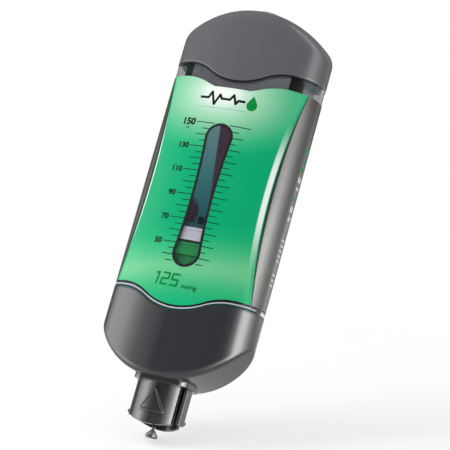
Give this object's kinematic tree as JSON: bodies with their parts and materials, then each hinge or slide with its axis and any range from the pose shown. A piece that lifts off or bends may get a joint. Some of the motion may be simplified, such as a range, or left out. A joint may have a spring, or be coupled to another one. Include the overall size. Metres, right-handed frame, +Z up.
{
  "type": "spring-driven suction cartridge",
  "caption": "Flat oval spring-driven suction cartridge: clear graduated barrel between two domed caps, sprung piston inside, latching tube port below.",
  "frame": {"origin": "centre of the nozzle's lowest rim, the lowest point of the object, on the barrel's axis", "axes": "+Z up along the barrel from the port to the crown, the printed face looks along -Y, +X to the viewer's right"},
  "size_m": [0.073, 0.0352, 0.2041],
  "materials": {
    "clear_shell": "clear polycarbonate, polished",
    "dark_cap": "dark grey moulded plastic, gloss",
    "grey_cap": "grey moulded plastic, gloss",
    "light_grey": "light grey moulded plastic",
    "green_film": "printed green label film, satin gloss",
    "grey_film": "printed grey label film, satin gloss",
    "green_piston": "green moulded plastic",
    "pale_rubber": "pale grey silicone",
    "black_rubber": "black rubber",
    "dark_plastic": "dark moulded plastic",
    "steel": "ground steel pin",
    "spring_steel": "rolled stainless spring strip",
    "clear_nozzle": "clear moulded plastic"
  },
  "bodies": {
    "root": {"barrel": "clear_shell", "bottom_cap": "dark_cap", "top_cap": "grey_cap", "key_guide": "light_grey", "front_label": "green_film", "rear_label": "grey_film", "left_strip": "spring_steel", "right_strip": "spring_steel", "spring_anchors": "dark_plastic", "connector_port": "dark_cap", "check_valve": "pale_rubber", "inlet_o_ring": "black_rubber", "inlet_nozzle": "clear_nozzle"},
    "piston_set": {"piston": "green_piston", "piston_seal": "pale_rubber", "reading_ring": "black_rubber", "exhaust_valve": "pale_rubber", "spring_carrier": "dark_plastic", "spool_axles": "steel"},
    "left_spool_set": {"left_spool": "light_grey", "left_coil": "spring_steel"},
    "right_spool_set": {"right_spool": "light_grey", "right_coil": "spring_steel"},
    "left_latch": {"left_arm": "dark_plastic"},
    "right_latch": {"right_arm": "dark_plastic"}
  },
  "joints": [
    {"name": "piston_slide", "type": "slide", "parent": "root", "child": "piston_set", "axis": [0, 0, 1], "range_m": [-0.0302, 0.0554], "deforming": ["left_strip", "right_strip"]},
    {"name": "left_spool_turn", "type": "hinge", "parent": "piston_set", "child": "left_spool_set", "pos_m": [-0.02, 0, 0.10619], "axis": [0, 1, 0], "range_deg": [-335.12, 183.14]},
    {"name": "right_spool_turn", "type": "hinge", "parent": "piston_set", "child": "right_spool_set", "pos_m": [0.02, 0, 0.10619], "axis": [0, 1, 0], "range_deg": [-183.14, 335.12]},
    {"name": "left_latch_flex", "type": "hinge", "parent": "root", "child": "left_latch", "pos_m": [-0.0117, 0, 0.0239], "axis": [0, 1, 0], "range_deg": [-5, 0], "stiffness_Nm_per_rad": 0.35},
    {"name": "right_latch_flex", "type": "hinge", "parent": "root", "child": "right_latch", "pos_m": [0.0117, 0, 0.0239], "axis": [0, 1, 0], "range_deg": [0, 5], "stiffness_Nm_per_rad": 0.35}
  ],
  "couplings": [
    {"joint": "left_spool_turn", "follows": "piston_slide", "rad_per_m": -105.26},
    {"joint": "right_spool_turn", "follows": "piston_slide", "rad_per_m": 105.26}
  ]
}
